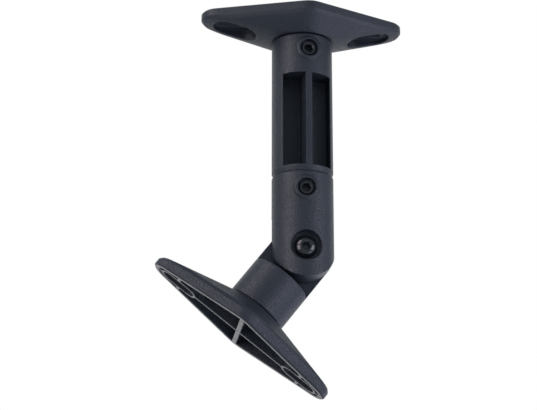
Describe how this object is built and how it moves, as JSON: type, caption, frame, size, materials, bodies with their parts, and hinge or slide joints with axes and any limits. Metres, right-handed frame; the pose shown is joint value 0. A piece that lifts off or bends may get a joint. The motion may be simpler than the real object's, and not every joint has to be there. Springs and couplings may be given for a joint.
{
  "type": "speaker wall bracket",
  "caption": "Tilt-and-swivel speaker bracket: a windowed tube between diamond-shaped screw plates, joined by a bolted half-lap knuckle and set-screw swivels.",
  "frame": {"origin": "centre of the wall plate's back face, in the plane that meets the wall or ceiling", "axes": "+Z into the wall or ceiling, the tube runs down -Z; +X along the wall plate's long axis; the bolt head and set screws face -Y"},
  "size_m": [0.1008, 0.0446, 0.1592],
  "materials": {
    "moulding": "fine satin texture, charcoal black",
    "set_screw": "black oxide, satin",
    "pivot_hardware": "black oxide, polished"
  },
  "bodies": {
    "wall_plate": {"wall_plate": "moulding"},
    "arm": {"extension_arm": "moulding", "wall_set_screw": "set_screw"},
    "upper_knuckle": {"upper_knuckle": "moulding", "arm_set_screw": "set_screw"},
    "lower_knuckle": {"lower_knuckle": "moulding", "speaker_set_screw": "set_screw", "pivot_bolt": "pivot_hardware", "pivot_nut": "pivot_hardware"},
    "speaker_plate": {"speaker_plate": "moulding"}
  },
  "joints": [
    {"name": "arm_swivel", "type": "hinge", "parent": "wall_plate", "child": "arm", "pos_m": [0, 0, -0.0107], "axis": [0, 0, 1], "continuous": true},
    {"name": "upper_swivel", "type": "hinge", "parent": "arm", "child": "upper_knuckle", "pos_m": [0, 0, -0.0697], "axis": [0, 0, 1], "continuous": true},
    {"name": "tilt", "type": "hinge", "parent": "upper_knuckle", "child": "lower_knuckle", "pos_m": [0, 0, -0.1007], "axis": [0.0645, 0.9979, 0], "range_deg": [-126.1, 49.9]},
    {"name": "plate_swivel", "type": "hinge", "parent": "lower_knuckle", "child": "speaker_plate", "pos_m": [-0.01906, 0.00123, -0.12506], "axis": [-0.6157, 0.0398, -0.7869], "continuous": true}
  ]
}
